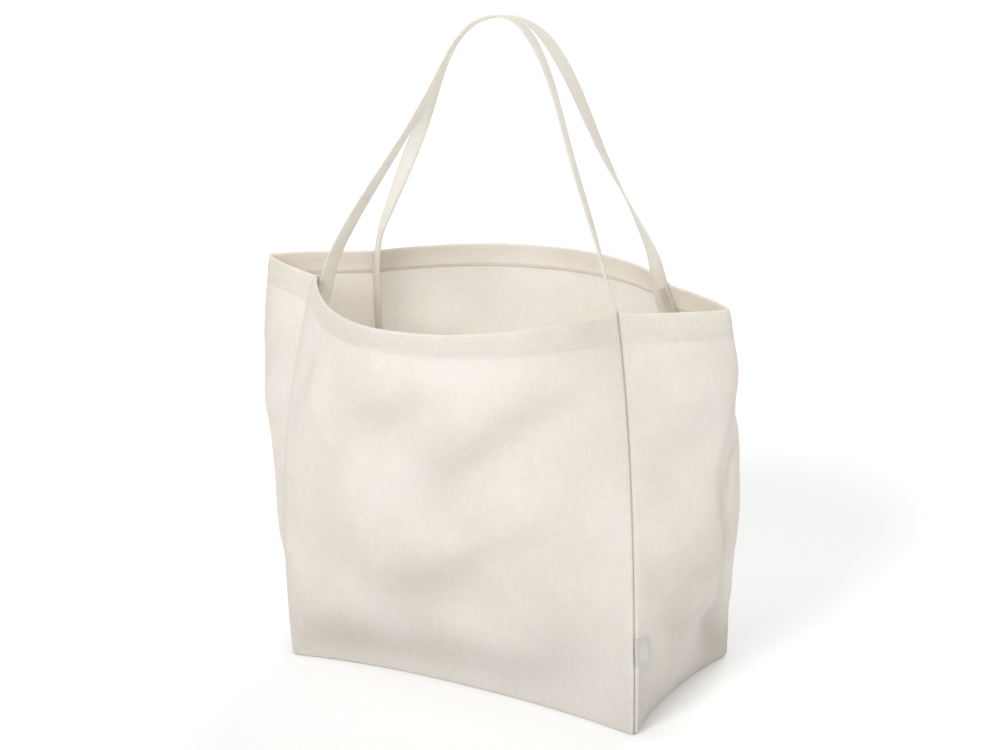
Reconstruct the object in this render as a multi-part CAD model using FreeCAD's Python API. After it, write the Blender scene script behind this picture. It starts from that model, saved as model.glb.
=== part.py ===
import FreeCAD, Part
import math
import os

# Open-topped canvas carrier: four sewn walls on a flat base, two long strap handles
# sewn into the corner seams, and a small side label. Millimetres, +Z up, +X to the
# right of the front panel, origin at the middle of the underside.

V = FreeCAD.Vector

# Bag body
BAG_HEIGHT = 400.0
BASE_HALF_WIDTH = 203.0
BASE_HALF_DEPTH = 100.0
RIM_HALF_WIDTH = 171.0      # the mouth is drawn in where the handles pull on the corners
RIM_HALF_DEPTH = 52.0
CLOTH = 1.2                 # heavy plain canvas
HEM_DEPTH = 25.0
HEM_CLOTH = 1.4             # the turned-in layer behind each rim
LAYER_GAP = 0.1

# Each wall bows between its two corner seams: bow at the base and at the rim (outward
# is positive), how early the bow fills out with height, where its crown lies along the
# wall, its roundness at the base and at the rim, and how far the rim sags.
WALLS = {
    "front": dict(start=(-1, -1), end=(1, -1), base=-20.0, rim=98.0, fill=0.87,
                  crown=0.46, low_round=2.2, rim_round=2.2, sag=11.0),
    "right": dict(start=(1, -1), end=(1, 1), base=-14.0, rim=86.0, fill=1.5,
                  crown=0.5, low_round=2.4, rim_round=1.35, sag=0.0),
    "back": dict(start=(1, 1), end=(-1, 1), base=-18.0, rim=82.0, fill=1.32,
                 crown=0.5, low_round=2.2, rim_round=2.2, sag=0.0),
    "left": dict(start=(-1, 1), end=(-1, -1), base=-14.0, rim=96.0, fill=2.2,
                 crown=0.5, low_round=2.2, rim_round=1.35, sag=0.0),
}
NEXT_WALL = {"front": "right", "right": "back", "back": "left", "left": "front"}
CORNERS = {"front_left": "left", "front_right": "front", "back_right": "right", "back_left": "back"}
ACROSS_POINTS = 16          # sample stretches along a wall and up it
UPWARD_POINTS = 12
MITRE_REACH = 0.1           # share of a wall over which its thickness turns into the corner

# Bound seam allowances and strap tails, standing inward from each corner seam
SEAM_START = 6.0
BINDING_WIDTH = 10.0
BINDING_CLOTH = 3.0
TAIL_LENGTH = 90.0
TAIL_TOP_GAP = 1.0
SEAM_STEPS = 6

# Handles: flat folded straps, each from its left foot over the arch to its right foot.
# A row is the strap's middle (x, y, z) and how far, in degrees, its width is turned about
# the strap's own line from facing front to back.
STRAP_WIDTH = 15.0
STRAP_CLOTH = 2.4
LOOP_FOLD_Z = 520.0         # the upper fold line; the lower one is at both feet
FOLD_GAP = 0.4
FOLD_ROOM = 9.0             # no row this near the upper fold, where the ends are cut level
STRAP_LINES = {
    "front": [(-163.0, -44.0, 401.5, -34), (-154.0, -41.8, 417.5, -24), (-143.6, -39.5, 436.4, -22),
              (-123.7, -35.5, 467.5, -17), (-108.0, -32.0, 490.3, -13), (-93.2, -28.6, 511.3, -7),
              (-66.5, -22.3, 549.9, 2), (-39.9, -16.3, 593.0, 12), (-27.4, -13.8, 615.4, 17),
              (-15.0, -11.9, 634.1, 17), (-3.0, -10.8, 646.4, 12), (4.3, -10.3, 651.3, 6),
              (14.2, -10.0, 655.5, 0), (25.2, -9.8, 658.0, -6), (36.0, -9.8, 658.2, -11),
              (46.1, -9.9, 656.1, -12), (54.6, -10.2, 651.8, -8), (61.6, -10.7, 646.0, -2),
              (69.1, -11.5, 637.0, -1), (79.7, -13.2, 618.9, -7), (88.5, -15.4, 599.6, -11),
              (95.7, -17.9, 581.0, -14), (115.5, -26.2, 526.8, -15), (131.0, -32.2, 488.6, -17),
              (142.1, -36.1, 460.5, -22), (152.2, -40.0, 431.0, -28), (163.0, -44.0, 401.5, -36)],
    "back": [(-163.4, 44.0, 401.5, 45), (-159.2, 42.4, 411.0, 46), (-152.5, 40.3, 427.8, 51),
             (-140.6, 37.6, 448.0, 62), (-125.1, 33.9, 473.7, 77), (-110.5, 30.2, 497.9, 93),
             (-98.2, 27.0, 518.1, 112), (-84.9, 23.7, 540.2, 136), (-71.5, 20.4, 562.6, 162),
             (-58.2, 17.4, 585.3, 183), (-44.4, 14.8, 608.3, 193), (-29.7, 12.8, 628.0, 194),
             (-15.6, 11.5, 640.8, 191), (-4.7, 10.9, 647.4, 187), (7.6, 10.5, 652.1, 180),
             (22.0, 10.3, 654.6, 173), (34.9, 10.3, 654.3, 169), (47.3, 10.6, 651.1, 170),
             (58.6, 11.1, 645.0, 176), (66.4, 11.7, 638.4, 184), (73.2, 12.3, 630.5, 192),
             (83.6, 13.9, 613.9, 196), (93.2, 16.2, 593.7, 194), (100.9, 18.8, 573.8, 190),
             (115.3, 24.6, 533.5, 174), (122.6, 27.4, 515.6, 164), (131.4, 30.6, 496.0, 153),
             (141.4, 34.0, 474.0, 141), (149.0, 36.5, 456.9, 130), (157.3, 39.2, 436.5, 112),
             (163.0, 41.8, 416.0, 92), (166.0, 43.6, 401.5, 74)],
}

# Side label, sewn into the front right seam
LABEL_REACH = 18.0
LABEL_HEIGHT = 26.0
LABEL_CLOTH = 0.6
LABEL_LOW_Z = 74.0
LABEL_CLEARANCE = 1.0


def corner(signs, level):
    """The outer corner seam at a height given as a share of the bag's height."""
    half_width = BASE_HALF_WIDTH + (RIM_HALF_WIDTH - BASE_HALF_WIDTH) * level ** 3
    half_depth = BASE_HALF_DEPTH + (RIM_HALF_DEPTH - BASE_HALF_DEPTH) * level ** 2
    return V(signs[0] * half_width, signs[1] * half_depth, 0)


def wall_point(wall, across, level):
    """A point of a wall's outer face."""
    w = WALLS[wall]
    start = corner(w["start"], level)
    end = corner(w["end"], level)
    along = (end - start).normalize()
    outward = V(along.y, -along.x, 0)
    side = w["crown"] if across < w["crown"] else 1 - w["crown"]
    power = w["low_round"] + (w["rim_round"] - w["low_round"]) * level
    swell = 1 - (abs(across - w["crown"]) / side) ** power
    bow = w["base"] + (w["rim"] - w["base"]) * (1 - (1 - level) ** w["fill"])
    point = start + (end - start) * across + outward * (bow * swell)
    point.z = CLOTH + (BAG_HEIGHT - CLOTH) * level - w["sag"] * level ** 6 * swell
    return point


def wall_normal(wall, across, level):
    """The outward horizontal normal of a wall's outer face."""
    step = 0.001
    low = max(across - step, 0)
    high = min(across + step, 1)
    run = wall_point(wall, high, level) - wall_point(wall, low, level)
    return V(run.y, -run.x, 0).normalize()


def mitre(wall, level):
    """Outward corner offset, for one unit of thickness, where a wall meets the next."""
    here = wall_normal(wall, 1, level)
    there = wall_normal(NEXT_WALL[wall], 0, level)
    return (here + there) * (1 / (1 + here.dot(there)))


def offset_point(wall, across, level, depth):
    """A wall point moved inward by a depth, mitred into its two neighbours."""
    previous = [name for name in WALLS if NEXT_WALL[name] == wall][0]
    offset = wall_normal(wall, across, level)
    near_start = max(0, 1 - across / MITRE_REACH) ** 2
    near_end = max(0, 1 - (1 - across) / MITRE_REACH) ** 2
    offset += (mitre(previous, level) - wall_normal(wall, 0, level)) * near_start
    offset += (mitre(wall, level) - wall_normal(wall, 1, level)) * near_end
    return wall_point(wall, across, level) - offset * depth


def wall_surface(wall, low, high, depth):
    rows = []
    for i in range(ACROSS_POINTS + 1):
        levels = [low + (high - low) * j / UPWARD_POINTS for j in range(UPWARD_POINTS + 1)]
        rows.append([offset_point(wall, i / ACROSS_POINTS, level, depth) for level in levels])
    surface = Part.BSplineSurface()
    surface.interpolate(rows)
    return surface


def solid_from(faces):
    shell = Part.Shell(faces)
    shell.sewShape()
    solid = Part.Solid(shell)
    if solid.Volume < 0:
        solid.reverse()
    return solid


def wall_slab(wall, low, high, outer_depth, inner_depth):
    """The cloth of a wall between two depths behind its outer face."""
    outer = wall_surface(wall, low, high, outer_depth)
    inner = wall_surface(wall, low, high, inner_depth)
    u0, u1, v0, v1 = outer.bounds()
    a0, a1, b0, b1 = inner.bounds()
    rims = [(outer.uIso(u0), inner.uIso(a0)), (outer.uIso(u1), inner.uIso(a1)),
            (outer.vIso(v0), inner.vIso(b0)), (outer.vIso(v1), inner.vIso(b1))]
    faces = [outer.toShape(), inner.toShape()]
    faces += [Part.makeRuledSurface(a.toShape(), b.toShape()) for a, b in rims]
    return solid_from(faces)


def base_panel():
    edges = []
    for wall in WALLS:
        curve = Part.BSplineCurve()
        points = [wall_point(wall, i / ACROSS_POINTS, 0) for i in range(ACROSS_POINTS + 1)]
        curve.interpolate([V(p.x, p.y, 0) for p in points])
        edges.append(curve.toShape())
    return Part.Face(Part.Wire(edges)).extrude(V(0, 0, CLOTH))


def ribbon(sections):
    """A closed solid through four-cornered sections."""
    return Part.makeLoft([Part.makePolygon(s + [s[0]]) for s in sections], True, True)


def seam_strip(corner_wall, low_z, high_z, width, cloth):
    """A strip standing inward from a corner seam between two heights."""
    sections = []
    for step in range(SEAM_STEPS + 1):
        z = low_z + (high_z - low_z) * step / SEAM_STEPS
        level = z / BAG_HEIGHT
        seam = corner(WALLS[corner_wall]["end"], level)
        inward = (V(0, 0, 0) - mitre(corner_wall, level)).normalize()
        aside = V(-inward.y, inward.x, 0) * (cloth / 2)
        near = seam + inward * SEAM_START + V(0, 0, z)
        far = near + inward * width
        sections.append([near - aside, near + aside, far + aside, far - aside])
    return ribbon(sections)


def strap_sections(handle):
    """The strap's outline at each row: middle, line direction and width direction."""
    rows = STRAP_LINES[handle]
    middles = [V(x, y, z) for x, y, z, _ in rows]
    sections = []
    for k, (middle, row) in enumerate(zip(middles, rows)):
        along = (middles[min(k + 1, len(rows) - 1)] - middles[max(k - 1, 0)]).normalize()
        across = (V(0, 1, 0) - along * along.y).normalize()
        turn = math.radians(row[3])
        sections.append((middle, along, across * math.cos(turn) + along.cross(across) * math.sin(turn)))
    return sections


def outline(middle, along, width_way, level_cut=False):
    cloth_way = along.cross(width_way).normalize()
    corners = []
    for a, b in ((-1, -1), (1, -1), (1, 1), (-1, 1)):
        arm = width_way * (a * STRAP_WIDTH / 2) + cloth_way * (b * STRAP_CLOTH / 2)
        if level_cut:
            arm -= along * (arm.z / along.z)
        corners.append(middle + arm)
    return corners


def section_at(first, second, z):
    """The strap's section where it passes a height between two rows, cut level."""
    share = (z - first[0].z) / (second[0].z - first[0].z)
    middle, along, width_way = (a + (b - a) * share for a, b in zip(first, second))
    along.normalize()
    width_way = (width_way - along * width_way.dot(along)).normalize()
    return outline(middle, along, width_way, True)


def strap_pieces(handle):
    """The two legs, up to their fold lines, and the loop between the fold lines."""
    sections = [s for s in strap_sections(handle) if abs(s[0].z - LOOP_FOLD_Z) > FOLD_ROOM]
    above = [k for k, (middle, _, _) in enumerate(sections) if middle.z > LOOP_FOLD_Z]
    left, right = above[0], above[-1]
    leg_top = LOOP_FOLD_Z - FOLD_GAP
    left_leg = [outline(*sections[0], True)] + [outline(*s) for s in sections[1:left]]
    left_leg.append(section_at(sections[left - 1], sections[left], leg_top))
    right_leg = [outline(*s) for s in sections[right + 1:-1]] + [outline(*sections[-1], True)]
    right_leg.insert(0, section_at(sections[right], sections[right + 1], leg_top))
    loop = [section_at(sections[left - 1], sections[left], LOOP_FOLD_Z)]
    loop += [outline(*s) for s in sections[left:right + 1]]
    loop.append(section_at(sections[right], sections[right + 1], LOOP_FOLD_Z))
    return {"_handle_left_leg": ribbon(left_leg), "_handle_right_leg": ribbon(right_leg),
            "_handle_loop": ribbon(loop)}


def side_label():
    level = (LABEL_LOW_Z + LABEL_HEIGHT / 2) / BAG_HEIGHT
    seam = wall_point("right", 0, level)
    along = wall_point("right", 0.02, level) - seam
    along.z = 0
    along.normalize()
    outward = V(along.y, -along.x, 0)
    near = seam + outward * LABEL_CLEARANCE
    near.z = LABEL_LOW_Z
    far = near + along * LABEL_REACH
    outline = [near, far, far + outward * LABEL_CLOTH, near + outward * LABEL_CLOTH]
    return Part.Face(Part.makePolygon(outline + [near])).extrude(V(0, 0, LABEL_HEIGHT))


def build():
    hem_level = 1 - HEM_DEPTH / BAG_HEIGHT
    hem_front = CLOTH + LAYER_GAP
    tail_low = BAG_HEIGHT - TAIL_LENGTH
    nodes = {"base_panel": base_panel(), "side_label": side_label()}
    for wall, name in (("front", "front_panel"), ("back", "back_panel"),
                       ("left", "left_gusset"), ("right", "right_gusset")):
        nodes[name] = wall_slab(wall, 0, 1, 0, CLOTH)
        nodes[wall + "_rim_hem"] = wall_slab(wall, hem_level, 1, hem_front, hem_front + HEM_CLOTH)
    for name, wall in CORNERS.items():
        nodes[name + "_seam_binding"] = seam_strip(wall, CLOTH + LAYER_GAP, tail_low - LAYER_GAP,
                                                   BINDING_WIDTH, BINDING_CLOTH)
        nodes[name + "_strap_tail"] = seam_strip(wall, tail_low, BAG_HEIGHT - TAIL_TOP_GAP,
                                                 STRAP_WIDTH, STRAP_CLOTH)
    for handle in ("front", "back"):
        for part, shape in strap_pieces(handle).items():
            nodes[handle + part] = shape
    return nodes


os.makedirs("parts", exist_ok=True)
for node, shape in build().items():
    shape.exportStep("parts/" + node + ".step")
    box = shape.BoundBox
    print(f"{node:28s} valid {shape.isValid()} solids {len(shape.Solids)} volume {shape.Volume:10.1f}"
          f"  x {box.XMin:7.1f} {box.XMax:7.1f}  y {box.YMin:7.1f} {box.YMax:7.1f}"
          f"  z {box.ZMin:7.1f} {box.ZMax:7.1f}")
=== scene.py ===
import math
from collections import namedtuple

import bmesh
import bpy
from mathutils import Matrix, Vector, noise


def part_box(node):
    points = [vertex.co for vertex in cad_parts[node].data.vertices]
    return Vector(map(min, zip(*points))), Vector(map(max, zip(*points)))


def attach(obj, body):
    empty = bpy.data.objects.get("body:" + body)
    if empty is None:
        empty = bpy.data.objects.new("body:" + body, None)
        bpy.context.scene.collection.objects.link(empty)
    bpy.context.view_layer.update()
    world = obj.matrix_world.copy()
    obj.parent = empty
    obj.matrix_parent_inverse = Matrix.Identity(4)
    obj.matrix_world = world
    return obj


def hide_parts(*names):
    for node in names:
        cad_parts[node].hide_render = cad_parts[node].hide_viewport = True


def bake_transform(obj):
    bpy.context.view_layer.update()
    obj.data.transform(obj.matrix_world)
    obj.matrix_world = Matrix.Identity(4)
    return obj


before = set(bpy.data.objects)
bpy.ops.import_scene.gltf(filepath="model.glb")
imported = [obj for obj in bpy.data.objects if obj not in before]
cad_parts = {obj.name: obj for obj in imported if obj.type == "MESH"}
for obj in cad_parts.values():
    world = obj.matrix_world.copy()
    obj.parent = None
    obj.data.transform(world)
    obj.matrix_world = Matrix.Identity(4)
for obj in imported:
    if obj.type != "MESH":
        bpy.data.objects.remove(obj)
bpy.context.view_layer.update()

# ---------------------------------------------------------------- sizes, in metres

BASE_LOW, BASE_HIGH = (Vector(point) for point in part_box("base_panel"))
RIM_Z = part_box("right_gusset")[1][2]
CLOTH = BASE_HIGH.z                 # canvas thickness
BASE_X, BASE_Y = BASE_HIGH.x, BASE_HIGH.y
RIM_X, RIM_Y = 0.171, 0.052         # corner seams at the drawn-in mouth
HEM_DEPTH = 0.025
HEM_ROUND = 0.0015                  # radius of the rim's fold
SEAM_DEPTH = 0.0032                 # how far the two cloths run in side by side
SEAM_TURN = 0.0025                  # cloth length taken by one turn into a seam
BASE_ROUND = 0.004                  # radius where a wall turns under the base
CREASE = 0.0006                     # how far a stitch line pulls the cloth in
STITCH_DOWN = 0.0215                # hem stitching, below the rim
BINDING_WIDTH, BINDING_CLOTH = 0.011, 0.0040
LEAN_FROM = 0.0022                  # where a seam allowance starts to lean over, past its groove

STRAP_WIDTH, STRAP_CLOTH = 0.015, 0.0021
STRAP_INSET = 0.0135                # strap middle, in from the corner seam
TAIL_LOW_Z = RIM_Z - 0.090
SPLICE_Z = 0.480                    # where the leg pieces meet the top pieces

STRAP_STEP = 0.0035                 # between stations along a strap
FOOT_STATIONS = 3                   # left out at each foot, where strap and tail join
LINE_ROUNDS, TURN_ROUNDS = 8, 14    # rounds of softening of a strap's line and its twist
TAIL_ASIDE = 0.0033                 # strap tail, beside its seam allowance
ROW_PLACE, ROW_LIFT = 0.40, 0.42    # strap stitching, as shares of its width and cloth
CORNER_POWER = 0.42                 # how square a folded strap's edges are, 1 is an ellipse

THREAD = 0.00034
STITCH = 0.0034
THREAD_LIFT = THREAD * 0.75         # thread's middle, above the cloth

LABEL_CLOTH = 0.0007

# Soft folds, and the shade painted along them and their creases
CREST = 1.65                        # makes a fold's highest point its stated height
FULL_FOLD, FULL_CREASE = 0.008, 0.0045      # fold height and crease depth that get the full painted shade
MOST_PAINTED_SHADE, HEM_PAINTED_LIGHT = 1.5, -1.4       # most painted shade, and the turned-in hem's value, below 0, which paints it lighter
PUCKER_FROM_SEAM, PUCKER_REACH = 0.011, 0.009
MITRE_SHARE = 0.04                  # share of a wall over which it turns into the mitre

# Rows of a wall: up its face, up the band in front of the hem, and down the hem
FACE_ROWS, BAND_ROWS, HEM_ROWS = 68, 20, 12

# How each wall bows between its corner seams (see the walls' own function), and the
# soft folds in it: place along and up, direction in degrees, half length, half width
# and height.
WALLS = {
    "front": dict(start=(-1, -1), end=(1, -1), base=-0.020, rim=0.098, fill=0.87,
                  crown=0.46, low_round=2.2, rim_round=2.2, sag=0.011,
                  folds=[(0.268, 0.286, 38, 0.098, 0.026, 0.0095),
                         (0.160, 0.306, 24, 0.072, 0.028, 0.0076),
                         (0.185, 0.125, 22, 0.075, 0.030, 0.0080),
                         (0.275, 0.178, 24, 0.060, 0.014, 0.0028),
                         (0.110, 0.040, 4, 0.130, 0.030, 0.0064),
                         (0.300, 0.052, 16, 0.080, 0.026, 0.0050),
                         (0.345, 0.105, 12, 0.070, 0.034, 0.0046),
                         (0.030, 0.300, 62, 0.050, 0.016, -0.0043),
                         (0.052, 0.205, 118, 0.075, 0.020, 0.0036)]),
    "right": dict(start=(1, -1), end=(1, 1), base=-0.014, rim=0.086, fill=1.5,
                  crown=0.5, low_round=2.4, rim_round=1.35, sag=0.0,
                  folds=[(0.045, 0.160, -28, 0.050, 0.020, 0.0049),
                         (0.110, 0.100, -34, 0.070, 0.022, 0.0043),
                         (0.160, 0.055, -48, 0.050, 0.014, 0.0058),
                         (0.175, 0.250, -70, 0.060, 0.012, 0.0038),
                         (0.040, 0.300, 40, 0.060, 0.024, 0.0032)]),
    "back": dict(start=(1, 1), end=(-1, 1), base=-0.018, rim=0.082, fill=1.32,
                 crown=0.5, low_round=2.2, rim_round=2.2, sag=0.0,
                 folds=[(0.120, 0.260, -28, 0.090, 0.026, 0.0065),
                        (0.260, 0.300, 20, 0.080, 0.026, 0.0055),
                        (0.220, 0.140, -12, 0.090, 0.030, 0.0052),
                        (0.090, 0.060, 35, 0.060, 0.020, 0.0043),
                        (0.330, 0.090, -30, 0.060, 0.022, 0.0041)]),
    "left": dict(start=(-1, 1), end=(-1, -1), base=-0.014, rim=0.096, fill=2.2,
                 crown=0.5, low_round=2.2, rim_round=1.35, sag=0.0,
                 folds=[(0.060, 0.180, 32, 0.060, 0.022, 0.0049),
                        (0.130, 0.120, -30, 0.060, 0.022, 0.0043),
                        (0.150, 0.290, 65, 0.060, 0.014, 0.0038),
                        (0.070, 0.050, 40, 0.050, 0.018, 0.0043)]),
}
NEXT_WALL = {"front": "right", "right": "back", "back": "left", "left": "front"}
LAST_WALL = {after: before for before, after in NEXT_WALL.items()}
# Radius of the cloth where it turns into the seam at a wall's end, and half the gap there
SEAM_ROUND = {"front": (0.0018, 0.00050), "right": (0.0014, 0.00030), "back": (0.0014, 0.00030),
              "left": (0.0007, 0.00008)}
CORNER_AFTER = {"front": "front_right", "right": "back_right", "back": "back_left",
                "left": "front_left"}

# The back seam allowances are pressed over towards the back wall, in degrees
SEAM_LEAN = {"front": 0, "back": 26, "left": 0, "right": -26}

# Where a corner seam is pushed sideways: how far, at what level, over what reach
SEAM_SWELL = {(1, 1): (0.0135, 0.46, 0.19), (-1, -1): (0.0020, 0.55, 0.25)}

# Sharper creases in a wall: half width, depth and the points along and up it passes
CREASES = {
    "right": [(0.0046, 0.0062, [(0.104, 0.335), (0.095, 0.303), (0.086, 0.275), (0.075, 0.252),
                                (0.079, 0.217), (0.096, 0.177), (0.108, 0.135), (0.136, 0.095),
                                (0.146, 0.064), (0.172, 0.032), (0.190, 0.014)]),
              (0.0100, 0.0022, [(0.020, 0.120), (0.070, 0.090), (0.120, 0.084)])],
    "left": [(0.0090, 0.0040, [(0.030, 0.330), (0.045, 0.250), (0.050, 0.160), (0.030, 0.080)])],
    "back": [(0.0100, 0.0035, [(0.330, 0.330), (0.350, 0.240), (0.345, 0.150), (0.370, 0.060)])],
    "front": [(0.0100, 0.0016, [(0.018, 0.352), (0.040, 0.300), (0.052, 0.255)])],
}

# Each strap from its left foot over the arch to its right foot: its middle, and the
# turn of its width about its own line, in degrees from facing front to back.
STRAP_LINES = {
    "front": [(-0.1630, -0.0440, 0.4015, -34), (-0.1540, -0.0418, 0.4175, -24),
              (-0.1436, -0.0395, 0.4364, -22), (-0.1237, -0.0355, 0.4675, -17),
              (-0.1080, -0.0320, 0.4903, -13), (-0.0932, -0.0286, 0.5113, -7),
              (-0.0665, -0.0223, 0.5499, 2), (-0.0399, -0.0163, 0.5930, 12),
              (-0.0274, -0.0138, 0.6154, 17), (-0.0150, -0.0119, 0.6341, 17),
              (-0.0030, -0.0108, 0.6464, 12), (0.0043, -0.0103, 0.6513, 6),
              (0.0142, -0.0100, 0.6555, 0), (0.0252, -0.0098, 0.6580, -6),
              (0.0360, -0.0098, 0.6582, -11), (0.0461, -0.0099, 0.6561, -12),
              (0.0546, -0.0102, 0.6518, -8), (0.0616, -0.0107, 0.6460, -2),
              (0.0691, -0.0115, 0.6370, -1), (0.0797, -0.0132, 0.6189, -7),
              (0.0885, -0.0154, 0.5996, -11), (0.0957, -0.0179, 0.5810, -14),
              (0.1155, -0.0262, 0.5268, -15), (0.1310, -0.0322, 0.4886, -17),
              (0.1421, -0.0361, 0.4605, -22), (0.1522, -0.0400, 0.4310, -28),
              (0.1630, -0.0440, 0.4015, -36)],
    "back": [(-0.1634, 0.0440, 0.4015, 45), (-0.1592, 0.0424, 0.4110, 46),
              (-0.1525, 0.0403, 0.4278, 51), (-0.1406, 0.0376, 0.4480, 62),
              (-0.1251, 0.0339, 0.4737, 77), (-0.1105, 0.0302, 0.4979, 93),
              (-0.0982, 0.0270, 0.5181, 112), (-0.0849, 0.0237, 0.5402, 136),
              (-0.0715, 0.0204, 0.5626, 162), (-0.0582, 0.0174, 0.5853, 183),
              (-0.0444, 0.0148, 0.6083, 193), (-0.0297, 0.0128, 0.6280, 194),
              (-0.0156, 0.0115, 0.6408, 191), (-0.0047, 0.0109, 0.6474, 187),
              (0.0076, 0.0105, 0.6521, 180), (0.0220, 0.0103, 0.6546, 173),
              (0.0349, 0.0103, 0.6543, 169), (0.0473, 0.0106, 0.6511, 170),
              (0.0586, 0.0111, 0.6450, 176), (0.0664, 0.0117, 0.6384, 184),
              (0.0732, 0.0123, 0.6305, 192), (0.0836, 0.0139, 0.6139, 196),
              (0.0932, 0.0162, 0.5937, 194), (0.1009, 0.0188, 0.5738, 190),
              (0.1153, 0.0246, 0.5335, 174), (0.1226, 0.0274, 0.5156, 164),
              (0.1314, 0.0306, 0.4960, 153), (0.1414, 0.0340, 0.4740, 141),
              (0.1490, 0.0365, 0.4569, 130), (0.1573, 0.0392, 0.4365, 112),
              (0.1630, 0.0418, 0.4160, 92), (0.1660, 0.0436, 0.4015, 74)],
}


def smooth(low, high, x):
    share = min(max((x - low) / (high - low), 0.0), 1.0)
    return share * share * (3 - 2 * share)


def mixed(a, b, share):
    return a + (b - a) * share


def bell(x):
    return math.exp(-x * x)


# ---------------------------------------------------------------- shape of the cloth

def corner(signs, level):
    """The outer corner seam at a height given as a share of the bag's height."""
    swell = SEAM_SWELL.get(signs, (0, 0, 1))
    out = swell[0] * bell((level - swell[1]) / swell[2])
    return Vector((signs[0] * (mixed(BASE_X, RIM_X, level ** 3) + out),
                   signs[1] * mixed(BASE_Y, RIM_Y, level ** 2), 0))


def wall_point(wall, across, level):
    """A point of a wall's plain outer face."""
    w = WALLS[wall]
    start, end = corner(w["start"], level), corner(w["end"], level)
    along = (end - start).normalized()
    outward = Vector((along.y, -along.x, 0))
    side = w["crown"] if across < w["crown"] else 1 - w["crown"]
    power = mixed(w["low_round"], w["rim_round"], level)
    swell = 1 - (abs(across - w["crown"]) / side) ** power
    bow = mixed(w["base"], w["rim"], 1 - (1 - level) ** w["fill"])
    point = start + (end - start) * across + outward * (bow * swell)
    point.z = RIM_Z * level - w["sag"] * level ** 6 * swell
    return point


def wall_normal(wall, across, level):
    step = 0.002
    low, high = max(across - step, 0), min(across + step, 1)
    run = wall_point(wall, high, level) - wall_point(wall, low, level)
    return Vector((run.y, -run.x, 0)).normalized()


Seam = namedtuple("Seam", "point mitre out groove retreat turn_radius half_gap")
seam_memory = {}


def seam_after(wall, level):
    """The corner seam where a wall ends: its point, its mitre, its outward way, how deep
    its groove is, how far short of it each wall turns, and how tightly."""
    key = (wall, round(level, 5))
    if key not in seam_memory:
        here = wall_normal(wall, 1, level)
        there = wall_normal(NEXT_WALL[wall], 0, level)
        mitre = (here + there) / (1 + here.dot(there))
        out = mitre.normalized()
        point = corner(WALLS[wall]["end"], level)
        point.z = RIM_Z * level
        along = Vector((-here.y, here.x, 0))
        aside = (along - out * along.dot(out)).normalized()
        turn_radius, half_gap = SEAM_ROUND[wall]
        retreat = (turn_radius * (1 - here.dot(aside)) + half_gap) / along.dot(aside)
        groove = retreat * along.dot(out) + turn_radius * here.dot(out)
        seam_memory[key] = Seam(point, mitre, out, groove, retreat, turn_radius, half_gap)
    return seam_memory[key]


def crease_dip(path, half_width, along, height):
    """How deep a point lies in a crease, 0 to 1; a crease fades out at both ends."""
    best, total = 0.0, len(path) - 1
    for k, ((x0, z0), (x1, z1)) in enumerate(zip(path, path[1:])):
        dx, dz = x1 - x0, z1 - z0
        share = ((along - x0) * dx + (height - z0) * dz) / (dx * dx + dz * dz)
        share = min(max(share, 0.0), 1.0)
        away = math.hypot(along - x0 - dx * share, height - z0 - dz * share) / half_width
        place = (k + share) / total
        best = max(best, bell(away) * smooth(0.0, 0.15, place) * smooth(0.0, 0.22, 1 - place))
    return best


def fold_painted_shade(wall, along, height):
    """How much shade is painted onto the cloth along its folds and creases, from 0 to the most painted
    shade.
    """
    shade_painted = 0.0
    for s, z, turn, half_length, half_width, lift in WALLS[wall]["folds"]:
        angle = math.radians(turn)
        dx, dz = along - s, height - z
        run = (dx * math.cos(angle) + dz * math.sin(angle)) / half_length
        rise = (-dx * math.sin(angle) + dz * math.cos(angle)) / (half_width * (1 - 0.32 * run))
        if abs(run) < 1.6:
            shade_painted += abs(lift) / FULL_FOLD * bell(rise) * math.exp(-run ** 4)
    for half_width, depth, path in CREASES[wall]:
        shade_painted += depth / FULL_CREASE * crease_dip(path, half_width * 1.2, along, height)
    return min(shade_painted, MOST_PAINTED_SHADE)


def relief(wall, along, height, length):
    """How far the cloth stands out of its plain face, from folds and soft unevenness."""
    out = 0.0
    for s, z, turn, half_length, half_width, lift in WALLS[wall]["folds"]:
        angle = math.radians(turn)
        dx, dz = along - s, height - z
        run = (dx * math.cos(angle) + dz * math.sin(angle)) / half_length
        rise = (-dx * math.sin(angle) + dz * math.cos(angle)) / half_width
        if abs(run) < 2.2 and abs(rise) < 3.2:
            out += lift * CREST * rise * math.exp(-rise * rise / 2) * math.exp(-run ** 4)
    for half_width, depth, path in CREASES[wall]:
        out -= depth * crease_dip(path, half_width, along, height)
    seed = 11.0 * list(WALLS).index(wall)
    place = Vector((along, height, seed))
    out += 0.0016 * noise.noise(place * 13)
    out += 0.0007 * noise.noise(Vector((along * 34, height * 26, seed + 3)))
    out += 0.00022 * noise.noise(Vector((along * 110, height * 90, seed + 5)))
    seam = min(along, length - along)
    held = smooth(0.0, 0.028, seam) * smooth(0.0, 0.022, height)
    held *= 1 - 0.75 * smooth(RIM_Z - 0.045, RIM_Z - 0.010, height)
    pucker = noise.noise(Vector((height * 62, seed, 9 if along < length / 2 else 4)))
    beside = bell((seam - PUCKER_FROM_SEAM) / PUCKER_REACH)
    return out * held + 0.0011 * pucker * beside * smooth(0, 0.03, height)


def hem_relief(along, below, seed):
    """The dip of the hem stitching and the fullness of the band above it."""
    dip = -CREASE * bell((below - STITCH_DOWN) / 0.0016)
    pull = noise.noise(Vector((along * 150, seed, 2.0)))
    dip -= 0.0005 * pull * bell((below - STITCH_DOWN) / 0.0055)
    return dip + 0.0004 * bell((below - 0.010) / 0.008)


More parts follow.
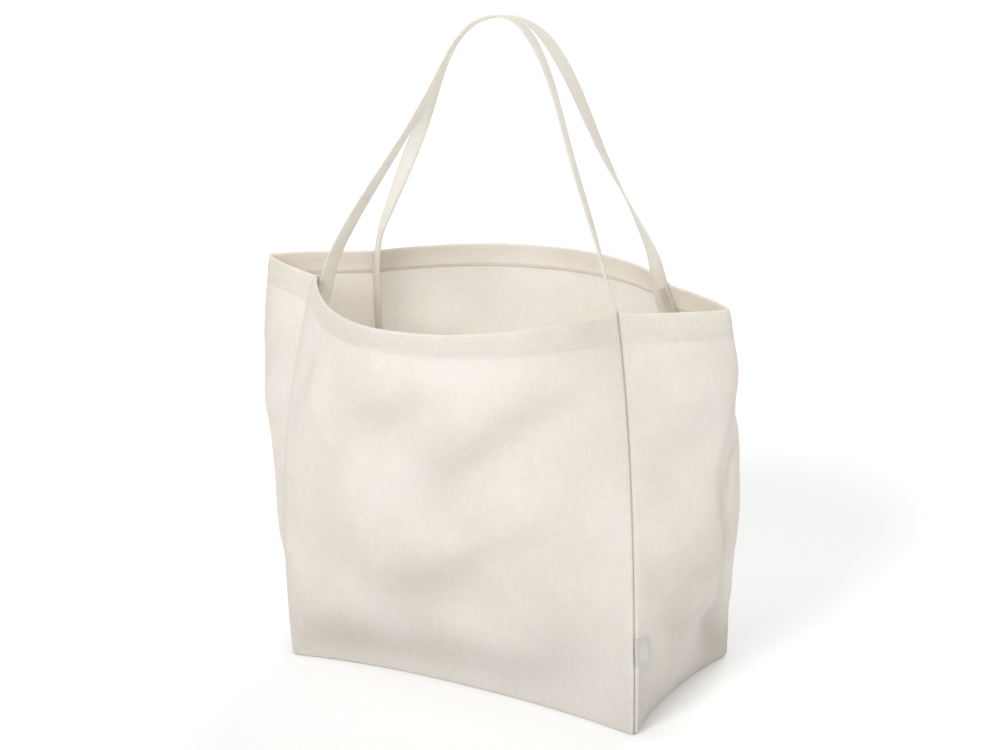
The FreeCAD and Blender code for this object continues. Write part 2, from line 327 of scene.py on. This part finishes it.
def face_point(wall, column, level):
    """A point of the real outer face. Columns below 0 and above 1 turn into the seams."""
    first = seam_after(LAST_WALL[wall], level)
    last = seam_after(wall, level)
    length = (last.point - first.point).length
    t0, t1 = first.retreat / length, 1 - last.retreat / length
    across = mixed(t0, t1, min(max(column, 0.0), 1.0))
    point = wall_point(wall, across, level)
    normal = wall_normal(wall, across, level)
    if 0 <= column <= 1:
        height = RIM_Z * level
        swell = relief(wall, across * length, height, length)
        swell += hem_relief(across * length, RIM_Z - height, len(wall))
        return point + normal * swell
    seam, sign = (first, -1) if column < 0 else (last, 1)
    turn = -column if column < 0 else column - 1
    toward = Vector((-normal.y, normal.x, 0)) * sign
    out = seam.out
    aside = (toward - out * toward.dot(out)).normalized()
    full = math.atan2(aside.dot(toward), aside.dot(normal))
    hub = point - normal * seam.turn_radius

    def on_roll(angle):
        return hub + (normal * math.cos(angle) + toward * math.sin(angle)) * seam.turn_radius

    bottom = seam.point - out * seam.groove - aside * seam.half_gap
    bottom.z = point.z
    if turn > 1:
        return bottom - out * (SEAM_DEPTH * (turn - 1))
    return on_roll(full * turn) + (bottom - on_roll(full)) * turn


def inward(wall, column, level):
    """The way into the bag, turned into the mitre at both ends of a wall."""
    across = min(max(column, 0.0), 1.0)
    way = wall_normal(wall, across, level)
    near_start = max(0.0, 1 - across / MITRE_SHARE) ** 2
    near_end = max(0.0, 1 - (1 - across) / MITRE_SHARE) ** 2
    way = way + (seam_after(LAST_WALL[wall], level).mitre - way) * near_start
    way = way + (seam_after(wall, level).mitre - way) * near_end
    return -way


def columns_for(step_count):
    """Stations across a wall: the seam rolls, close steps beside them, then even ones."""
    roll = [-2.0, -1.4, -1.0, -0.8, -0.6, -0.4, -0.2]
    close = [0.0, 0.004, 0.009, 0.016]
    even = [mixed(0.026, 0.974, i / step_count) for i in range(step_count + 1)]
    return roll + close + even + [1 - c for c in reversed(close)] + [1 - c for c in reversed(roll)]


def rows_for():
    """Stations up a wall: level, depth into the bag and lift, from under the base,
    up the face, over the rim and down the turned-in hem."""
    rows = []
    for i in range(5):
        angle = math.radians(90 - 22.5 * i)
        rows.append((BASE_ROUND / RIM_Z, BASE_ROUND * (1 - math.cos(angle)),
                     -BASE_ROUND * math.sin(angle)))
    main_top = RIM_Z - HEM_DEPTH - 0.004
    for i in range(1, FACE_ROWS + 1):
        rows.append((mixed(BASE_ROUND, main_top, i / FACE_ROWS) / RIM_Z, 0.0, 0.0))
    for i in range(1, BAND_ROWS + 1):
        rows.append((mixed(main_top, RIM_Z - HEM_ROUND, i / BAND_ROWS) / RIM_Z, 0.0, 0.0))
    for i in range(1, 9):
        angle = math.radians(22.5 * i)
        rows.append((1 - HEM_ROUND / RIM_Z, HEM_ROUND * (1 - math.cos(angle)),
                     HEM_ROUND * math.sin(angle)))
    for i in range(1, HEM_ROWS + 1):
        z = mixed(RIM_Z - HEM_ROUND, RIM_Z - HEM_DEPTH, i / HEM_ROWS)
        rows.append((z / RIM_Z, 2 * HEM_ROUND, 0.0))
    rows.append((1 - (HEM_DEPTH + 0.0006) / RIM_Z, 1.4 * HEM_ROUND, 0.0))
    return rows


# ---------------------------------------------------------------- mesh making

def new_object(name, bm):
    mesh = bpy.data.meshes.new(name)
    bm.to_mesh(mesh)
    bm.free()
    piece = bpy.data.objects.new(name, mesh)
    bpy.context.scene.collection.objects.link(piece)
    return piece


def warped_grid(columns, rows, place, measure, tone=None):
    """A grid of columns by rows, each vertex put where place(i, j) says, with a UV map
    in metres from measure(i, j), and how much shade is painted on its cloth, or how
    much light is painted where that is below 0, from tone(i, j)."""
    bm = bmesh.new()
    bmesh.ops.create_grid(bm, x_segments=columns - 1, y_segments=rows - 1, size=1)
    # per vertex: painted shade above 0, painted light below 0
    painted_shading = bm.verts.layers.float.new("painted_shading")
    index = {}
    for vert in bm.verts:
        i = round((vert.co.x + 1) / 2 * (columns - 1))
        j = round((vert.co.y + 1) / 2 * (rows - 1))
        index[vert] = (i, j)
    cloth_map = bm.loops.layers.uv.new("cloth")
    for face in bm.faces:
        face.smooth = True
        for loop in face.loops:
            loop[cloth_map].uv = measure(*index[loop.vert])
    for vert, (i, j) in index.items():
        vert.co = place(i, j)
        vert[painted_shading] = tone(i, j) if tone else 0.0
    return bm


def add_modifiers(piece, thickness):
    rounder = piece.modifiers.new("Rounder", "SUBSURF")
    rounder.levels = rounder.render_levels = 1
    skin = piece.modifiers.new("Thickness", "SOLIDIFY")
    skin.thickness = thickness
    skin.offset = -1


def wall_cloth(wall, name, step_count):
    """One wall of canvas with its rim turned in, as a single sheet."""
    columns = columns_for(step_count)
    rows = rows_for()
    width = (corner(WALLS[wall]["end"], 0) - corner(WALLS[wall]["start"], 0)).length
    run = [0.0]
    for (a, b, c), (d, e, f) in zip(rows, rows[1:]):
        run.append(run[-1] + math.hypot((d - a) * RIM_Z + f - c, e - b))

    def place(i, j):
        level, depth, lift = rows[j]
        point = face_point(wall, columns[i], level)
        if depth:
            point = point + inward(wall, columns[i], level) * depth
        point.z += lift
        return point

    def measure(i, j):
        beyond = columns[i] - min(max(columns[i], 0), 1)
        return (columns[i] - beyond) * width + beyond * SEAM_TURN, run[j]

    # painted shade along the folds and creases, faded out near the seams and the rim
    def tone(i, j):
        across = min(max(columns[i], 0), 1)
        level, depth, _ = rows[j]
        # painted light: the turned-in hem is made lighter
        if level > 0.9 and depth > HEM_ROUND:
            return HEM_PAINTED_LIGHT
        held = smooth(0, 0.03, min(across, 1 - across)) * smooth(0.995, 0.90, level)
        return held * fold_painted_shade(wall, across * width, RIM_Z * level)

    piece = new_object(name, warped_grid(len(columns), len(rows), place, measure, tone))
    add_modifiers(piece, CLOTH)
    return piece


def base_area():
    """The base's cut, a rectangle whose edges bow inwards with the walls."""
    area = 4 * BASE_X * BASE_Y
    for wall in WALLS.values():
        run = (corner(wall["end"], 0) - corner(wall["start"], 0)).length
        area += run * wall["base"] * (1 - 1 / (wall["low_round"] + 1))
    return area


def base_cloth():
    """The flat base, inside the walls' turned-under edges."""
    count = 41

    def edge(wall, share):
        level = BASE_ROUND / RIM_Z
        point = face_point(wall, share, level)
        point = point + inward(wall, share, level) * BASE_ROUND
        return Vector((point.x, point.y, 0.0))

    def place(i, j):
        u, v = i / (count - 1), j / (count - 1)
        front, back = edge("front", u), edge("back", 1 - u)
        right, left = edge("right", v), edge("left", 1 - v)
        corners = mixed(mixed(edge("front", 0), edge("front", 1), u),
                        mixed(edge("back", 1), edge("back", 0), u), v)
        point = mixed(front, back, v) + mixed(left, right, u) - corners
        middle = smooth(0, 0.12, min(u, 1 - u, v, 1 - v))
        point.z = CLOTH + 0.0012 * middle * (0.5 + 0.5 * noise.noise(point * 16))
        return point

    def measure(i, j):
        return i / (count - 1) * 2 * BASE_X, j / (count - 1) * 2 * BASE_Y

    piece = new_object("base_cloth", warped_grid(count, count, place, measure))
    add_modifiers(piece, CLOTH)
    return piece


def closed_strip(name, stations, outline):
    """A closed strip through stations of (middle, width way, cloth way); outline gives
    the section as (across, out) pairs in metres."""
    around = len(outline) + 1
    lengths = [0.0]
    for (a, _, _), (b, _, _) in zip(stations, stations[1:]):
        lengths.append(lengths[-1] + (b - a).length)
    ring = [0.0]
    for a, b in zip(outline, outline[1:] + outline[:1]):
        ring.append(ring[-1] + math.hypot(b[0] - a[0], b[1] - a[1]))

    def place(i, j):
        across, out = outline[i % len(outline)]
        middle, width_way, cloth_way = stations[j]
        return middle + width_way * across + cloth_way * out

    def measure(i, j):
        return ring[i], lengths[j]

    bm = warped_grid(around, len(stations), place, measure)
    bmesh.ops.remove_doubles(bm, verts=bm.verts, dist=1e-6)
    open_edges = [edge for edge in bm.edges if edge.is_boundary]
    caps = bmesh.ops.holes_fill(bm, edges=open_edges, sides=0)["faces"]
    for face in caps:
        face.smooth = False
        for edge in face.edges:
            edge.smooth = False
    bmesh.ops.recalc_face_normals(bm, faces=bm.faces)
    return new_object(name, bm)


def strap_outline(width, cloth, count=36):
    """A flat folded strap's section: rounded edges and two faint stitch channels."""
    points = []
    for k in range(count):
        angle = 2 * math.pi * k / count
        c, s = math.cos(angle), math.sin(angle)
        x = math.copysign(abs(c) ** CORNER_POWER, c) * width / 2
        y = math.copysign(abs(s) ** CORNER_POWER, s) * cloth / 2
        channel = bell((abs(x) - ROW_PLACE * width) / 0.0009)
        y *= 1 - 0.16 * channel
        points.append((x, y))
    return points


def thread_row(path, outs):
    """A row of stitches: one thread that dives into the cloth after every stitch."""
    steps_each = 5
    lengths = [0.0]
    for a, b in zip(path, path[1:]):
        lengths.append(lengths[-1] + (b - a).length)
    count = max(2, round(lengths[-1] / STITCH)) * steps_each + 1
    stations = []
    j = 0
    for k in range(count):
        at = lengths[-1] * k / (count - 1)
        while j < len(lengths) - 2 and lengths[j + 1] < at:
            j += 1
        share = (at - lengths[j]) / max(lengths[j + 1] - lengths[j], 1e-9)
        point = mixed(path[j], path[j + 1], share)
        out = mixed(outs[j], outs[j + 1], share).normalized()
        along = (path[j + 1] - path[j]).normalized()
        side = along.cross(out).normalized()
        dive = abs(math.cos(math.pi * k / steps_each)) ** 3
        stations.append((point + out * (THREAD_LIFT - dive * THREAD * 2.4), side, out))
    ring = [(THREAD * math.cos(math.pi * q / 3), THREAD * math.sin(math.pi * q / 3))
            for q in range(6)]
    return closed_strip("row", stations, ring)


def joined(name, pieces):
    """Several pieces of one finish as one object."""
    bm = bmesh.new()
    for piece in pieces:
        bm.from_mesh(piece.data)
        bpy.data.objects.remove(piece)
    return new_object(name, bm)


# ---------------------------------------------------------------- straps

def curve_through(points, share, k):
    """A point of the smooth curve through points, share of the way from k to k + 1."""
    p0, p1 = points[max(k - 1, 0)], points[k]
    p2, p3 = points[k + 1], points[min(k + 2, len(points) - 1)]
    d0, d1, d2 = (max((b - a).length, 1e-6) ** 0.5 for a, b in ((p0, p1), (p1, p2), (p2, p3)))
    out = (p2 - p1) - (p2 - p0) * (d1 / (d0 + d1)) + (p1 - p0) * (d1 / d0) if k > 0 else p2 - p1
    into = (p2 - p1) - (p3 - p1) * (d1 / (d1 + d2)) + (p3 - p2) * (d1 / d2) \
        if k < len(points) - 2 else p2 - p1
    t = share
    return (p1 * (2 * t ** 3 - 3 * t ** 2 + 1) + out * (t ** 3 - 2 * t ** 2 + t)
            + p2 * (3 * t ** 2 - 2 * t ** 3) + into * (t ** 3 - t ** 2))


def turned(along, turn):
    across = (Vector((0, 1, 0)) - along * along.y).normalized()
    angle = math.radians(turn)
    return across * math.cos(angle) + along.cross(across) * math.sin(angle)


def allowance(wall, z):
    """Where a corner's seam allowance starts to lean, how deep that is, and its ways
    inward and aside."""
    seam = seam_after(wall, z / RIM_Z)
    start = seam.groove + LEAN_FROM
    inner = Matrix.Rotation(math.radians(SEAM_LEAN[wall]), 3, "Z") @ -seam.out
    return seam.point - seam.out * start, start, inner, Vector((inner.y, -inner.x, 0))


def tail_stations(wall):
    """Middle and width way of a strap tail inside its corner seam, from the bottom up."""
    stations = []
    steps = 26
    for i in range(steps):
        z = mixed(TAIL_LOW_Z, RIM_Z - 0.010, i / (steps - 1))
        root, start, inner, aside = allowance(wall, z)
        stations.append((root + inner * (STRAP_INSET - start) + aside * TAIL_ASIDE, inner))
    return stations


def strap_stations(handle):
    """Middle, width way and cloth way along a whole strap, tail to tail."""
    rows = STRAP_LINES[handle]
    points = [Vector(row[:3]) for row in rows]
    walls = ("left", "front") if handle == "front" else ("back", "right")
    upper = []
    for k in range(len(rows) - 1):
        pieces = max(2, round((points[k + 1] - points[k]).length / STRAP_STEP))
        for i in range(pieces):
            share = i / pieces
            here = curve_through(points, share, k)
            ahead = curve_through(points, share + 0.02, k)
            turn = mixed(rows[k][3], rows[k + 1][3], share)
            upper.append((here, turned((ahead - here).normalized(), turn)))
    upper = upper[FOOT_STATIONS:-FOOT_STATIONS]
    first, last = (tail_stations(wall) for wall in walls)
    if first[-1][1].dot(upper[0][1]) < 0:
        first = [(point, -way) for point, way in first]
    if last[-1][1].dot(upper[-1][1]) < 0:
        last = [(point, -way) for point, way in last]
    line = first + upper + last[::-1]
    points, ways = [point for point, _ in line], [way for _, way in line]
    for _ in range(LINE_ROUNDS):
        points = softened(points)
    for _ in range(TURN_ROUNDS):
        ways = [way.normalized() for way in softened(ways)]
    stations = []
    for k, (point, way) in enumerate(zip(points, ways)):
        along = (points[min(k + 1, len(points) - 1)] - points[max(k - 1, 0)]).normalized()
        width_way = (way - along * way.dot(along)).normalized()
        stations.append((point, width_way, along.cross(width_way)))
    return stations


def softened(vectors):
    middle = [(a + b * 2 + c) / 4 for a, b, c in zip(vectors, vectors[1:], vectors[2:])]
    return [vectors[0]] + middle + [vectors[-1]]


def strap_pieces(handle):
    """The strap in three runs, each with its stitching: two feet and the top."""
    stations = strap_stations(handle)
    crown = max(range(len(stations)), key=lambda k: stations[k][0].z)
    low = min(range(crown), key=lambda k: abs(stations[k][0].z - SPLICE_Z))
    high = min(range(crown, len(stations)), key=lambda k: abs(stations[k][0].z - SPLICE_Z))
    runs = {"left_leg": stations[:low + 1], "top": stations[low:high + 1],
            "right_leg": stations[high:]}
    outline = strap_outline(STRAP_WIDTH, STRAP_CLOTH)
    pieces = {}
    for part, run in runs.items():
        name = handle + "_strap_" + part
        rows = []
        for edge in (-1, 1):
            for face in (-1, 1):
                path = [m + w * (edge * ROW_PLACE * STRAP_WIDTH) + c * (face * STRAP_CLOTH * ROW_LIFT)
                        for m, w, c in run]
                rows.append(thread_row(path, [c * face for _, _, c in run]))
        strap = closed_strip(name, run, outline)
        pieces[part] = strap, joined(name + "_stitching", rows)
    return pieces


# ---------------------------------------------------------------- seams and hems

def seam_binding(wall):
    """The bound seam allowance standing into the bag from a corner seam."""
    stations = []
    steps = 70
    for i in range(steps + 1):
        z = mixed(0.006, RIM_Z - 0.004, i / steps)
        root, _, inner, aside = allowance(wall, z)
        wave = 0.0012 * noise.noise(Vector((z * 40, len(wall), 1)))
        depth = CLOTH * 0.4 + BINDING_WIDTH / 2 - LEAN_FROM
        stations.append((root + inner * depth + aside * wave, -inner, aside))
    return closed_strip(CORNER_AFTER[wall] + "_binding", stations,
                        strap_outline(BINDING_WIDTH, BINDING_CLOTH, 20))


def hem_stitching(wall, inside):
    """Thread along a wall's hem, on the outer or the inner face."""
    level = 1 - STITCH_DOWN / RIM_Z
    path, outs = [], []
    steps = 160
    for i in range(steps + 1):
        column = mixed(0.004, 0.996, i / steps)
        point = face_point(wall, column, level)
        way = inward(wall, column, level)
        if inside:
            point = point + way * (2 * HEM_ROUND)
            outs.append(way.normalized())
        else:
            outs.append(-way.normalized())
        path.append(point)
    return thread_row(path, outs)


def side_label():
    """A small folded woven tab lying on the right gusset from the corner seam."""
    low, high = (Vector(point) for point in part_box("side_label"))
    count_x, count_z = 15, 19
    start = Vector((low.x, low.y, 0))
    end = Vector((high.x, high.y, 0))
    reach = end - start

    def place(i, j):
        u, v = i / (count_x - 1), j / (count_z - 1)
        curl = 0.0012 * u ** 2 * math.sin(2.2 + 2.6 * v)
        point = start + reach * u + Vector((reach.y, -reach.x, 0)).normalized() * curl
        point.z = mixed(low.z, high.z, v)
        return point

    def measure(i, j):
        return i / (count_x - 1) * reach.length, j / (count_z - 1) * (high.z - low.z)

    piece = new_object("side_label_tab", warped_grid(count_x, count_z, place, measure))
    add_modifiers(piece, LABEL_CLOTH)
    return piece


# ---------------------------------------------------------------- finishes

class Wire:
    """A node's output that takes part in sums; out() gives another output of its node."""

    def __init__(self, finish, node, key=0):
        self.finish, self.node, self.socket = finish, node, node.outputs[key]

    def out(self, key):
        return Wire(self.finish, self.node, key)

    def sum(self, operation, a, b=0.0):
        return self.finish.add("Math", {"operation": operation}, {0: a, 1: b})

    def __add__(self, other):
        return self.sum("ADD", self, other)

    def __radd__(self, other):
        return self.sum("ADD", other, self)

    def __sub__(self, other):
        return self.sum("SUBTRACT", self, other)

    def __rsub__(self, other):
        return self.sum("SUBTRACT", other, self)

    def __mul__(self, other):
        return self.sum("MULTIPLY", self, other)

    def __rmul__(self, other):
        return self.sum("MULTIPLY", other, self)

    def __gt__(self, other):
        return self.sum("GREATER_THAN", self, other)

    def __abs__(self):
        return self.sum("ABSOLUTE", self)

    def sine(self):
        return self.sum("SINE", self)

    def larger(self, other):
        return self.sum("MAXIMUM", self, other)


class Finish:
    """A material made of nodes around one cloth or paint shader."""

    def __init__(self, name, roughness, sheen=0.0, through=0.0):
        self.material = bpy.data.materials.new(name)
        self.material.use_nodes = True
        self.tree = self.material.node_tree
        self.shader = self.tree.nodes["Principled BSDF"]
        self.shader.inputs["Roughness"].default_value = roughness
        self.shader.inputs["Specular IOR Level"].default_value = 0.2
        self.shader.inputs["Sheen Weight"].default_value = sheen
        self.shader.inputs["Sheen Roughness"].default_value = 0.6
        self.through = None
        if through:
            self.through = self.add("BsdfTranslucent").node
            both = self.add("MixShader", None, {0: through, 1: Wire(self, self.shader),
                                                2: Wire(self, self.through)})
            self.tree.links.new(both.socket, self.tree.nodes["Material Output"].inputs["Surface"])

    def add(self, kind, settings=None, inputs=None):
        node = self.tree.nodes.new("ShaderNode" + kind)
        for key, value in (settings or {}).items():
            setattr(node, key, value)
        for key, value in (inputs or {}).items():
            if isinstance(value, Wire):
                self.tree.links.new(value.socket, node.inputs[key])
            else:
                node.inputs[key].default_value = value
        return Wire(self, node)

    def colour(self, wire):
        self.tree.links.new(wire.socket, self.shader.inputs["Base Color"])
        if self.through:
            self.tree.links.new(wire.socket, self.through.inputs["Color"])

    def feed(self, name, wire):
        self.tree.links.new(wire.socket, self.shader.inputs[name])

    def cloth_uv(self):
        parts = self.add("SeparateXYZ", None, {0: self.add("UVMap", {"uv_map": "cloth"})})
        return parts, parts.out(1)

    def on_body(self):
        return self.add("TexCoord").out("Object")

    def point(self, x, y, z=0.0):
        return self.add("CombineXYZ", None, {0: x, 1: y, 2: z})

    def noise(self, where, scale, detail=2.0, rough=0.5):
        return self.add("TexNoise", None, {"Vector": where, "Scale": scale, "Detail": detail,
                                           "Roughness": rough})

    def step(self, wire, low, high):
        return self.add("MapRange", {"interpolation_type": "SMOOTHSTEP"},
                        {0: wire, 1: low, 2: high, 3: 0.0, 4: 1.0})

    def mix(self, share, a, b, mode="MIX"):
        return self.add("Mix", {"data_type": "RGBA", "blend_type": mode}, {0: share, 6: a, 7: b}).out(2)

    def grey(self, wire):
        return self.add("CombineColor", None, {0: wire, 1: wire, 2: wire})

    def bump(self, height, strength, distance):
        self.feed("Normal", self.add("Bump", None, {"Height": height, "Strength": strength,
                                                    "Distance": distance}))


def canvas(name, warm, pale, pitch, uneven=1.0):
    """Unbleached plain-weave canvas: threads over and under, uneven yarn, seed specks, with shade
    painted low down and along folds and light painted on the turned-in hem.
    """
    finish = Finish(name, roughness=0.93, sheen=0.10, through=0.55)
    u, v = finish.cloth_uv()
    turn = math.pi / pitch
    over = (u * turn + math.pi / 2).sine() * (v * turn + math.pi / 2).sine() * 0.5 + 0.5
    weave = abs((u * turn).sine()) * over + abs((v * turn).sine()) * (1 - over)
    up = finish.noise(finish.point(u * (0.8 / pitch), v * 34), 1.0, 3.0, 0.6)
    across = finish.noise(finish.point(u * 34, v * (0.8 / pitch), 7.0), 1.0, 3.0, 0.6)
    slub = up * 0.5 + across * 0.5
    body = finish.on_body()
    tone = finish.noise(body, 9.0, 3.0, 0.55) * 0.6 + finish.noise(body, 150.0, 2.0, 0.6) * 0.25
    colour = finish.mix(finish.step(tone + slub * 0.15, 0.38, 0.64), warm, pale)
    shade = (slub - 0.5) * (0.20 * uneven) + (weave - 0.5) * 0.06 + 1.0
    height = finish.add("SeparateXYZ", None, {0: body}).out(2)
    # painted shade: the cloth is darkened by up to 5.5% towards the bottom, fading out by 125 mm up
    painted_low_shade = 1 - finish.step(height + (tone - 0.4) * 0.10, 0.0, 0.125)
    # painted shade along the folds and creases, and painted light on the turned-in hem, read from each
    # wall's vertices
    painted_shading = finish.add("Attribute", {"attribute_name": "painted_shading"}).out("Fac")
    shade = shade * (1 - painted_low_shade * 0.055) * (1 - painted_shading * 0.055)
    colour = finish.mix(1.0, colour, finish.grey(shade), "MULTIPLY")
    cells = finish.add("TexVoronoi", None, {"Vector": body, "Scale": 95.0})
    pick = finish.add("SeparateColor", None, {0: cells.out("Color")}) > 0.90
    near = 1 - finish.step(cells, 0.03, 0.09)
    colour = finish.mix(near * pick * 0.45, colour, (0.45, 0.36, 0.25, 1))
    finish.colour(colour)
    finish.feed("Roughness", weave * 0.05 + 0.88)
    finish.bump(weave * 0.5 + slub * 0.7, 0.45, 0.0004)
    return finish.material


def label_weave():
    """Fine satin label: close ribs and a woven border line, left blank."""
    finish = Finish("label_weave", roughness=0.7, sheen=0.05)
    u, v = finish.cloth_uv()
    low, high = (Vector(point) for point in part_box("side_label"))
    width, height = (Vector((high.x, high.y)) - Vector((low.x, low.y))).length, high.z - low.z
    inset = (abs(u - width * 0.55) - width * 0.31).larger(abs(v - height / 2) - height * 0.40)
    line = 1 - finish.step(abs(inset), 0.0003, 0.0006)
    finish.colour(finish.mix(line * 0.45, (0.56, 0.555, 0.50, 1), (0.30, 0.29, 0.27, 1)))
    finish.bump(abs((v * (math.pi / 0.0005)).sine()), 0.4, 0.0002)
    return finish.material


def thread_finish():
    finish = Finish("sewing_thread", roughness=0.75, sheen=0.1)
    tone = finish.noise(finish.on_body(), 700.0, 1.0)
    finish.colour(finish.mix(tone, (0.70, 0.66, 0.57, 1), (0.84, 0.81, 0.73, 1)))
    return finish.material


def dress(piece, material, slot_name, body, *nodes):
    """Gives a piece its finish, its body and the nodes that it stands for; its slot name is not used.
    """
    piece.data.materials.append(material)
    if nodes:
        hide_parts(*nodes)
    if body:
        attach(piece, body)


# ---------------------------------------------------------------- the bag

panel_canvas = canvas("panel_canvas", (0.85, 0.815, 0.765, 1), (0.885, 0.865, 0.83, 1), 0.0010)
strap_canvas = canvas("strap_canvas", (0.845, 0.815, 0.76, 1), (0.88, 0.862, 0.825, 1), 0.0010, 0.8)
binding_tape = canvas("binding_tape", (0.79, 0.745, 0.655, 1), (0.84, 0.80, 0.73, 1), 0.0008, 0.6)
thread = thread_finish()

WALL_CLOTH = {"front": ("front_panel", "front_cloth", 84, 2 * BASE_X),
              "back": ("back_panel", "back_cloth", 84, 2 * BASE_X),
              "left": ("left_gusset", "left_gusset_cloth", 48, 2 * BASE_Y),
              "right": ("right_gusset", "right_gusset_cloth", 48, 2 * BASE_Y)}
for wall, (node, name, step_count, width) in WALL_CLOTH.items():
    cloth = wall_cloth(wall, name, step_count)
    dress(cloth, panel_canvas, "panel_canvas", "bag", node, wall + "_rim_hem")
    rows = [hem_stitching(wall, inside) for inside in (False, True)]
    stitching = joined(wall + "_hem_stitching", rows)
    dress(stitching, thread, "hem_canvas", "bag")
    binding = seam_binding(wall)
    dress(binding, binding_tape, "seam_binding", "bag", CORNER_AFTER[wall] + "_seam_binding")

base = base_cloth()
dress(base, panel_canvas, "panel_canvas", "bag", "base_panel")
base_area()

for handle in ("front", "back"):
    for part, (strap, stitching) in strap_pieces(handle).items():
        if part == "top":
            nodes = (handle + "_handle_loop",)
        else:
            nodes = (handle + "_handle_" + part, handle + "_" + part.replace("_leg", "_strap_tail"))
        dress(strap, strap_canvas, "strap_canvas", None, *nodes)
        dress(stitching, thread, "strap_canvas", None)
        for piece in (strap, stitching):
            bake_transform(piece)

label = side_label()
dress(label, label_weave(), "label_weave", "label", "side_label")

# ---------------------------------------------------------------- floor, light, camera

def studio_floor():
    bm = bmesh.new()
    bmesh.ops.create_grid(bm, x_segments=1, y_segments=1, size=12)
    floor = new_object("floor", bm)
    finish = Finish("floor_paper", roughness=1.0)
    finish.shader.inputs["Base Color"].default_value = (0.93, 0.93, 0.93, 1)
    floor.data.materials.append(finish.material)


def soft_sun(name, azimuth, elevation, power, spread):
    """A far, wide studio light; azimuth is measured from straight in front, to the right."""
    light = bpy.data.lights.new(name, "SUN")
    light.energy = power
    light.angle = math.radians(spread)
    lamp = bpy.data.objects.new(name, light)
    bpy.context.scene.collection.objects.link(lamp)
    a, e = math.radians(azimuth), math.radians(elevation)
    way = Vector((math.sin(a) * math.cos(e), -math.cos(a) * math.cos(e), math.sin(e)))
    lamp.matrix_world = way.to_track_quat("Z", "Y").to_matrix().to_4x4()


def studio_camera(azimuth, elevation, distance, roll, aim, lens):
    a, e, r = (math.radians(x) for x in (azimuth, elevation, roll))
    back = Vector((math.sin(a) * math.cos(e), -math.cos(a) * math.cos(e), math.sin(e)))
    flat_right = Vector((math.cos(a), math.sin(a), 0))
    flat_up = back.cross(flat_right)
    right = flat_right * math.cos(r) + flat_up * math.sin(r)
    up = flat_up * math.cos(r) - flat_right * math.sin(r)
    turn = Matrix((right, up, back)).transposed().to_4x4()
    data = bpy.data.cameras.new("camera")
    data.lens = lens
    data.sensor_width = 36
    camera = bpy.data.objects.new("camera", data)
    bpy.context.scene.collection.objects.link(camera)
    camera.matrix_world = Matrix.Translation(Vector(aim) + back * distance) @ turn
    bpy.context.scene.camera = camera


studio_floor()
world = bpy.data.worlds.new("studio")
world.use_nodes = True
world.node_tree.nodes["Background"].inputs["Color"].default_value = (1, 1, 1, 1)
world.node_tree.nodes["Background"].inputs["Strength"].default_value = 0.51
bpy.context.scene.world = world
soft_sun("key", -6, 32, 1.75, 24)
soft_sun("fill", 62, 30, 0.66, 40)
soft_sun("rear", 178, 40, 1.25, 40)
soft_sun("side", -80, 40, 0.50, 40)
bpy.context.scene.view_settings.view_transform = "Standard"
studio_camera(32.69, 18.23, 2.0934, -2.95, (0.0072, 0, 0.3039), 76.9)
